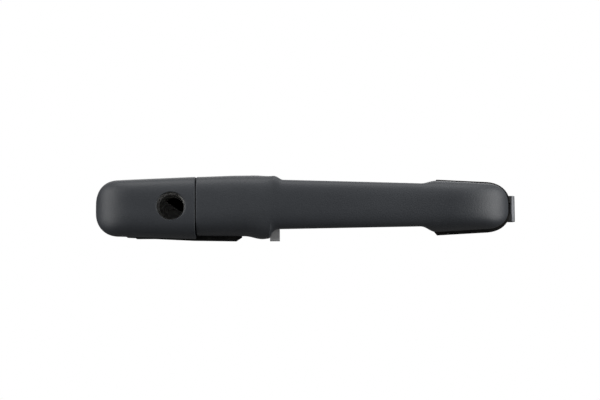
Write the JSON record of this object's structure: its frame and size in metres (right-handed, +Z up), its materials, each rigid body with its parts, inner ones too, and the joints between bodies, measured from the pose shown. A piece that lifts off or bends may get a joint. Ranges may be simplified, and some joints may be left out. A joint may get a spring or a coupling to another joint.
{
  "type": "car door handle",
  "caption": "Exterior car door pull handle: dark grained bar hinged at its front end, fixed cap with a round key hole, and a carrier with release lever and lock coupling behind the skin.",
  "frame": {"origin": "on the axis of the lock bore, in the plane of the door's outer skin", "axes": "+X along the handle from the key cap towards the grab's hinge, +Z up, -Y outward from the door, +Y into the door"},
  "size_m": [0.2539, 0.0662, 0.0393],
  "materials": {
    "grained_plastic": "fine moulded grain, dark blue-grey",
    "frame_plastic": "glass-filled black moulding",
    "seat_plastic": "satin grey moulding",
    "rubber": "matt black rubber",
    "zinc": "as-cast grey zinc alloy with a dull passivated skin",
    "blackened_zinc": "black-dipped zinc casting, rubbed bright at its edges",
    "steel": "zinc plated",
    "spring_steel": "drawn spring wire",
    "brass": "turned and knurled",
    "clip_plastic": "satin moulding"
  },
  "bodies": {
    "carrier": {"carrier_frame": "frame_plastic", "rear_seat": "seat_plastic", "rear_gasket": "rubber", "front_gasket": "rubber", "rest_buffers": "rubber", "seat_screws": "steel", "fixing_inserts": "brass", "lock_cap": "grained_plastic", "lock_bezel": "blackened_zinc", "lock_sleeve": "blackened_zinc", "sleeve_ring": "rubber", "cap_screw": "steel", "clamp_nut": "steel", "lever_pin": "steel", "pin_clips": "steel", "lever_spring": "spring_steel", "coupling_spring": "spring_steel"},
    "grab": {"grab_outer_shell": "grained_plastic", "grab_inner_shell": "frame_plastic", "grab_core": "frame_plastic", "pull_leg": "zinc", "front_hook": "zinc", "core_screws": "steel", "shell_screws": "steel"},
    "bellcrank": {"release_lever": "zinc", "rod_clip": "clip_plastic"},
    "coupling": {"lock_coupling": "blackened_zinc", "lock_lever": "steel", "coupling_clip": "spring_steel"}
  },
  "joints": [
    {"name": "grab_pull", "type": "hinge", "parent": "carrier", "child": "grab", "pos_m": [0.205, 0.008, 0], "axis": [0, 0, 1], "range_deg": [0, 9], "stiffness_Nm_per_rad": 1.5, "springref_deg": -20.05},
    {"name": "lever_turn", "type": "hinge", "parent": "carrier", "child": "bellcrank", "pos_m": [0.042, 0.018, -0.011], "axis": [1, 0, 0], "range_deg": [0, 53.1], "stiffness_Nm_per_rad": 0.02, "springref_deg": -17.19, "deforming": ["lever_spring"]},
    {"name": "key_turn", "type": "hinge", "parent": "carrier", "child": "coupling", "pos_m": [0, 0.02, 0], "axis": [0, 1, 0], "range_deg": [-60, 60], "stiffness_Nm_per_rad": 0.02, "deforming": ["coupling_spring"]}
  ],
  "couplings": [
    {"joint": "lever_turn", "follows": "grab_pull", "ratio": 5.9}
  ]
}
